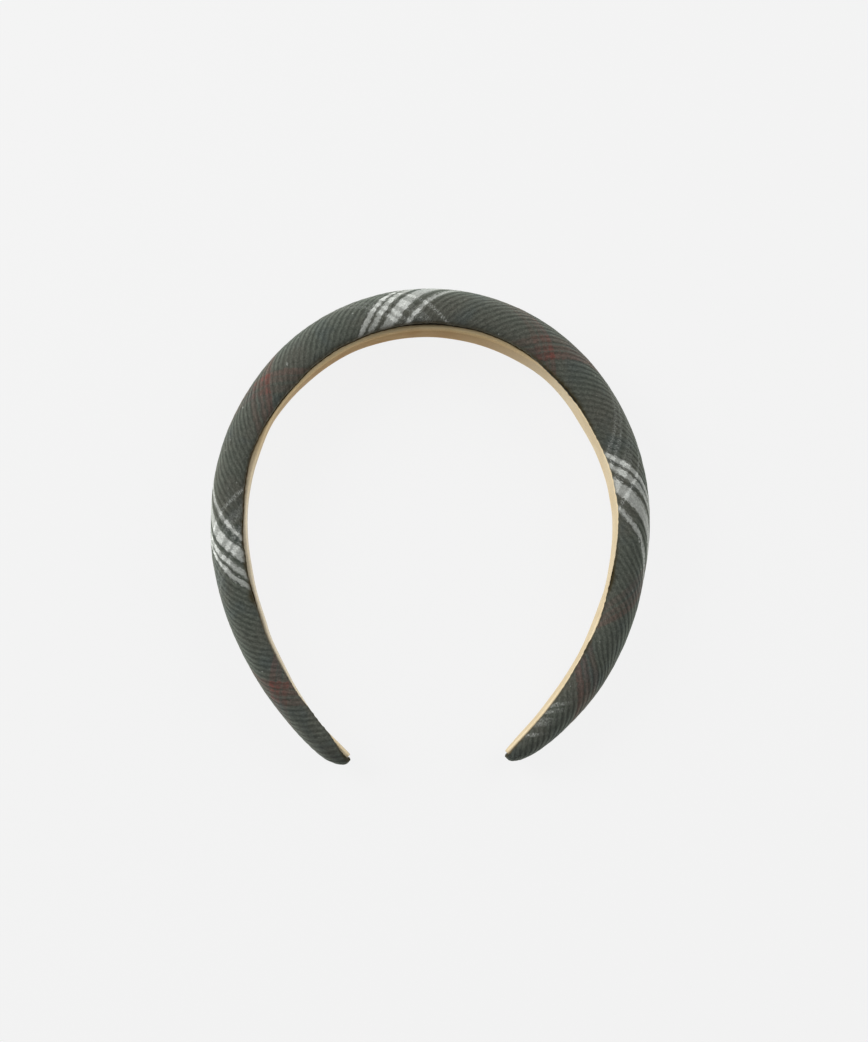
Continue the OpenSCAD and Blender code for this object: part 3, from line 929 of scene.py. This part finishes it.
def cloth_material():
    """Ribbed tartan: warp and weft stripes that show fully only where both are pale."""
    settings = bpy.context.scene.headband_cover
    material, tree, shader = new_material(
        "ribbed_tartan", Roughness=0.85, Specular_IOR_Level=0.25, Sheen_Weight=settings.sheen,
        Sheen_Roughness=0.45, Sheen_Tint=(0.88, 1.0, 0.88, 1),
    )
    tiles = add_node(tree, "ShaderNodeUVMap", uv_map="cloth").outputs[0]
    warp, weft, _ = add_node(tree, "ShaderNodeSeparateXYZ", {0: tiles}).outputs
    on_band = add_node(tree, "ShaderNodeTexCoord").outputs["Object"]
    ribs, bold = attribute(tree, "rib"), attribute(tree, "bold")
    picks = times(tree, weft, SETT)
    ribs_apart = maths(tree, "PINGPONG", maths(tree, "ADD", ribs, 0.5), 0.5)
    # Painted shade in the valleys between the ribs
    valley_shade = times(tree, ranged(tree, ribs_apart, 0.03, 0.38, 1.0, 0.0), bold)
    # Painted highlight on the rib tops
    ridge_highlight = times(tree, ranged(tree, ribs_apart, 0.22, 0.5), bold)
    rib_place = {"X": times(tree, ribs, 3.0), "Y": picks, "Z": 0.0}
    along_rib = add_node(tree, "ShaderNodeCombineXYZ", rib_place).outputs[0]
    fibre = noise(tree, on_band, 1900.0, 3.0, 0.7)
    patch = noise(tree, on_band, 55.0, 3.0)
    lint = noise(tree, on_band, 620.0, 1.0)

    warp_pale, pale, red, mottle = stripe_shares(tree, warp, weft, along_rib, ribs_apart)
    pale = maths(tree, "MAXIMUM", pale, ranged(tree, lint, 0.76, 0.8, 0.0, 0.3))
    colour = ground_colour(tree, on_band, patch, mottle, ridge_highlight)
    colour = mixed(tree, pale, colour, settings.pale)
    colour = mixed(tree, red, colour, settings.red)
    # Painted shade: the valleys made darker, less where the yarn is pale
    darken = times(tree, warp_pale, -0.5, times(tree, pale, -0.3, 0.6))
    darken = times(tree, darken, ranged(tree, patch, 0.35, 0.65, 1.15, 0.7))
    darken = times(tree, valley_shade, maths(tree, "MAXIMUM", darken, 0.0))
    colour = mixed(tree, darken, colour, settings.valley_shade)
    colour = lit(tree, colour, ranged(tree, fibre, 0.3, 0.7, 0.75, 1.25))
    # Painted sheen: the cloth up to 1.8 times lighter towards the outermost line
    colour = lit(tree, colour, ranged(tree, attribute(tree, "outer"), 0.4, 1.0, 1.0, 1.8))
    # Painted shade in the tucks and beside the strap, uneven, and darker still where it passes 1
    uneven_shade = ranged(tree, noise(tree, on_band, 420.0), 0.35, 0.6, 0.75, 1.0)
    tuck = times(tree, attribute(tree, "tuck"), uneven_shade)
    colour = mixed(tree, tuck, colour, settings.tuck)
    colour = lit(tree, colour, ranged(tree, tuck, 0.95, 1.3, 1.0, 0.25))
    tree.links.new(colour, shader.inputs["Base Color"])

    yarn, twist = (
        maths(tree, "SINE", times(tree, count, 2 * math.pi * PICKS_PER_RIB)) for count in (picks, ribs)
    )
    bump(tree, shader, times(tree, times(tree, yarn, twist), 0.3, fibre), 0.6, 0.00015)
    return material


def lining_material():
    """Matte suede with a soft nap, paler down both sides; the darker tan at the crown is painted shade."""
    settings = bpy.context.scene.headband_lining
    material, tree, shader = new_material(
        "tan_suede", Roughness=0.9, Specular_IOR_Level=0.1, Sheen_Weight=0.05
    )
    on_band = add_node(tree, "ShaderNodeTexCoord").outputs["Object"]
    nap = noise(tree, on_band, 2200.0, 4.0, 0.7)
    patch = noise(tree, on_band, 120.0, 3.0)
    x, y, _ = add_node(tree, "ShaderNodeSeparateXYZ", {0: on_band}).outputs
    # Painted shade: darker tan at the crown, where the strap's face turns from the lights
    crown = ranged(tree, times(tree, x, -0.3, y), settings.pale_below, settings.tan_above)
    colour = mixed(tree, crown, settings.pale, settings.tan)
    top = attribute(tree, "top")
    # Painted highlight on the strap's edges at the crown, added to rubbed patches at random
    edge_highlight = times(tree, top, times(tree, crown, 0.55))
    wear_and_highlight = maths(tree, "ADD", edge_highlight, ranged(tree, patch, 0.3, 0.7, 0.0, 0.35))
    colour = mixed(tree, maths(tree, "MINIMUM", wear_and_highlight, 1.0), colour, settings.wear_and_highlight)
    # Painted shade tint: duller, cooler suede down the -X side, where its face turns from the main light
    far_side = ranged(tree, x, *SHADE_TINT_SIDE, 1.0, 0.0)
    low_down = ranged(tree, y, settings.shade_tint_below, settings.shade_tint_until, SHADE_TINT_MOST, 0.0)
    colour = mixed(tree, times(tree, far_side, low_down), colour, settings.shade_tint)
    # Painted highlight: the strap's edges made a quarter lighter
    colour = lit(tree, colour, times(tree, top, 0.25, 1.0))
    colour = lit(tree, colour, ranged(tree, nap, 0.3, 0.7, 0.9, 1.1))
    # Painted highlight along the strap's edges at the crown
    rim_highlight = times(tree, attribute(tree, "rim_highlight"), crown)
    rim_highlight = times(tree, rim_highlight, ranged(tree, patch, 0.3, 0.55, 0.8, 1.0))
    colour = mixed(tree, rim_highlight, colour, settings.rim_highlight)
    # Painted shade in the crease beside the cloth
    colour = mixed(tree, attribute(tree, "crease"), colour, settings.crease)
    tree.links.new(colour, shader.inputs["Base Color"])
    bump(tree, shader, nap, 0.35, 0.0001)
    return material


def stage_material():
    """Pale, evenly lit paper: part of its light comes through it, so shadows stay faint."""
    settings = bpy.context.scene.headband_stage
    return new_material(
        "pale_paper", Base_Color=(*settings.paper, 1), Roughness=1.0, Specular_IOR_Level=0.0,
        Emission_Color=(1, 1, 1, 1), Emission_Strength=settings.paper_glow,
    )[0]


def finish_piece(piece, material, *nodes):
    """Gives a piece its material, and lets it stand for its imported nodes."""
    piece.data.materials.append(material)
    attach(piece, "root")
    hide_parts(*nodes)
    return piece


def add_light(name, place_and_size, power):
    """A round area light, turned to the model."""
    place_, size = place_and_size
    data = bpy.data.lights.new(name, "AREA")
    data.energy, data.shape, data.size = power, "DISK", size
    light = bpy.data.objects.new(name, data)
    light.location = place_
    light.rotation_euler = (-Vector(place_)).to_track_quat("-Z", "Y").to_euler()
    bpy.context.scene.collection.objects.link(light)


def make_camera():
    """The camera: nearly overhead, at the photograph's viewing angle."""
    settings = bpy.context.scene.headband_stage
    height, side, roll = settings.elevation, settings.side, settings.roll
    low, flat = math.cos(height) * math.cos(side), math.sin(height) * math.cos(side)
    back = Vector((math.sin(side), -low, flat)).normalized()
    right = Vector((0, 1, 0)).cross(back).normalized()
    up = back.cross(right)
    across = right * math.cos(roll) + up * math.sin(roll)
    upright = up * math.cos(roll) - right * math.sin(roll)
    data = bpy.data.cameras.new("camera")
    data.sensor_width = SENSOR
    data.lens = settings.distance * IMAGE_SCALE / MM * SENSOR / IMAGE_HEIGHT
    data.clip_start, data.clip_end = 0.01, 20
    camera = bpy.data.objects.new("camera", data)
    turn = Matrix((across, upright, back)).transposed().to_4x4()
    camera.matrix_world = Matrix.Translation(Vector(AIM) + back * settings.distance) @ turn
    bpy.context.scene.collection.objects.link(camera)
    bpy.context.scene.camera = camera


def setting(name, description, default, **kind):
    """A property of one value, or of a colour where the default has three."""
    make = FloatVectorProperty if isinstance(default, tuple) else FloatProperty
    return make(name=name, description=description, default=default, **kind)


class HeadbandCover(bpy.types.PropertyGroup):
    """Sizes and colours of the padded cover."""

    rib_height: setting("Rib height", "Height of the cloth's ribs", 0.00025, unit="LENGTH")
    rib_unevenness: setting("Rib unevenness", "How much the ribs differ in height", 0.15)
    ground: setting("Ground", "Dark green-grey yarn", (0.093, 0.102, 0.083), subtype="COLOR")
    ground_warm: setting("Warm ground", "Dark olive-grey yarn", (0.097, 0.097, 0.079), subtype="COLOR")
    ground_cool: setting("Cool ground", "Dark blue-grey yarn", (0.070, 0.089, 0.090), subtype="COLOR")
    # Painted highlight: a lighter copy of the ground colour on the rib tops
    ridge_highlight: setting("Ridge", "Rubbed yarn on top of the ribs", (0.14, 0.165, 0.135), subtype="COLOR")
    # Painted shade: a darker copy of the ground colour between the ribs
    valley_shade: setting("Valley", "Colour between the ribs", (0.035, 0.042, 0.034), subtype="COLOR")
    # Painted shade: the dark colour mixed into the tucks and beside the lips
    tuck: setting("Tuck", "Colour down between cloth and lining", (0.042, 0.028, 0.003), subtype="COLOR")
    pale: setting("Pale stripe", "Off-white yarn", (0.68, 0.70, 0.66), subtype="COLOR")
    red: setting("Red stripe", "Brick red yarn", (0.24, 0.045, 0.035), subtype="COLOR")
    sheen: setting("Sheen", "Light caught by the nap", 0.2)


class HeadbandLining(bpy.types.PropertyGroup):
    """Sizes and colours of the lining strap. Places are on the band's middle line."""

    fullness: setting("Fullness", "How far its middle stands out past its edges", 0.0002, unit="LENGTH")
    # The darker tan at the crown is painted shade, where the strap's face turns from the lights
    tan: setting("Tan", "Suede at the crown", (0.45, 0.27, 0.105), subtype="COLOR")
    pale: setting("Pale", "Suede down the sides", (0.80, 0.67, 0.45), subtype="COLOR")
    # Rubbed patches at random, and a painted highlight on the strap's edges at the crown
    wear_and_highlight: setting("Worn", "Rubbed patches", (0.66, 0.50, 0.27), subtype="COLOR")
    # Painted highlight along the strap's edges at the crown, where they turn up to the light
    rim_highlight: setting("Rim", "Nap brushed up beside the cloth, at the crown", (0.98, 0.79, 0.48), subtype="COLOR")
    # Painted shade tint: duller, cooler suede down the -X side, where its face turns from the main light
    shade_tint: setting("Greyed", "Duller suede down the -X side", (0.76, 0.69, 0.54), subtype="COLOR")
    shade_tint_below: setting("Greyed below", "Place where the dull suede is dullest", 0.0, unit="LENGTH")
    shade_tint_until: setting("Greyed until", "Place where the dull suede ends", 0.028, unit="LENGTH")
    # Painted shade: the dark colour of the strap in the crease beside the cloth
    crease: setting("Crease", "Suede in the crease beside the cloth", (0.055, 0.032, 0.003), subtype="COLOR")
    pale_below: setting("Pale below", "Place where the suede is fully pale", 0.029, unit="LENGTH")
    tan_above: setting("Tan above", "Place where the suede is fully tan", 0.071, unit="LENGTH")


class HeadbandStage(bpy.types.PropertyGroup):
    """The paper, lights and camera."""

    paper: setting("Paper", "Colour of the floor", (0.055, 0.055, 0.055), subtype="COLOR")
    paper_glow: setting("Paper glow", "Light that comes through the paper", 0.855)
    key_power: setting("Key light", "Watts of the main light", 8.3)
    fill_power: setting("Fill light", "Watts of the second light", 5.6)
    sky: setting("Sky", "Strength of the light from all round", 0.12)
    distance: setting("Distance", "From the camera to what it aims at", 0.7, unit="LENGTH")
    elevation: setting("Elevation", "Camera's height angle", math.radians(84.10), subtype="ANGLE")
    side: setting("Side angle", "Camera's angle to the side", math.radians(-4.39), subtype="ANGLE")
    roll: setting("Roll", "Camera's turn about its own line", math.radians(0.146), subtype="ANGLE")


class HEADBAND_OT_cover(bpy.types.Operator):
    """Build the padded cover of ribbed tartan cloth"""

    bl_idname = "headband.cover"
    bl_label = "Padded cover"

    def execute(self, context):
        cover = finish_piece(make_cover(), cloth_material(), "padded_cover")
        return {"FINISHED"}


class HEADBAND_OT_lining(bpy.types.Operator):
    """Build the suede lining strap along the inner face"""

    bl_idname = "headband.lining"
    bl_label = "Lining strap"

    def execute(self, context):
        lining = finish_piece(make_lining(), lining_material(), "inner_lining")
        return {"FINISHED"}


class HEADBAND_OT_stage(bpy.types.Operator):
    """Build the floor, lights and camera"""

    bl_idname = "headband.stage"
    bl_label = "Stage"

    def execute(self, context):
        settings = context.scene.headband_stage
        bpy.ops.object.select_all(action="DESELECT")
        bpy.ops.mesh.primitive_plane_add(size=FLOOR_SIZE, location=(0, 0, -FLOOR_GAP))
        floor = context.active_object
        floor.name = "floor"
        bpy.ops.object.transform_apply(location=True)
        floor.data.materials.append(stage_material())
        add_light("key", KEY_LIGHT, settings.key_power)
        add_light("fill", FILL_LIGHT, settings.fill_power)
        world = bpy.data.worlds.new("sky")
        world.use_nodes = True
        sky = world.node_tree.nodes["Background"]
        sky.inputs["Color"].default_value = (1, 1, 1, 1)
        sky.inputs["Strength"].default_value = settings.sky
        context.scene.world = world
        context.scene.view_settings.view_transform = "Standard"
        make_camera()
        return {"FINISHED"}


class HEADBAND_PT_pieces(bpy.types.Panel):
    """Lists the pieces of the headband and their settings"""

    bl_label = "Padded headband"
    bl_space_type = "VIEW_3D"
    bl_region_type = "UI"
    bl_category = "Headband"

    def draw(self, context):
        for name, _, operator in PIECES:
            settings = getattr(context.scene, name)
            box = self.layout.box()
            for key in settings.__annotations__:
                box.prop(settings, key)
            box.operator(operator.bl_idname)


PIECES = (
    ("headband_cover", HeadbandCover, HEADBAND_OT_cover),
    ("headband_lining", HeadbandLining, HEADBAND_OT_lining),
    ("headband_stage", HeadbandStage, HEADBAND_OT_stage),
)
CLASSES = (*(item for piece in PIECES for item in piece[1:]), HEADBAND_PT_pieces)


def register():
    for item in CLASSES:
        bpy.utils.register_class(item)
    for name, group, _ in PIECES:
        setattr(bpy.types.Scene, name, PointerProperty(type=group))


def unregister():
    for name, _, _ in PIECES:
        delattr(bpy.types.Scene, name)
    for item in reversed(CLASSES):
        bpy.utils.unregister_class(item)


def main():
    """Builds every piece and the stage."""
    register()
    bpy.ops.headband.cover()
    bpy.ops.headband.lining()
    bpy.ops.headband.stage()


if __name__ == "__main__":
    main()
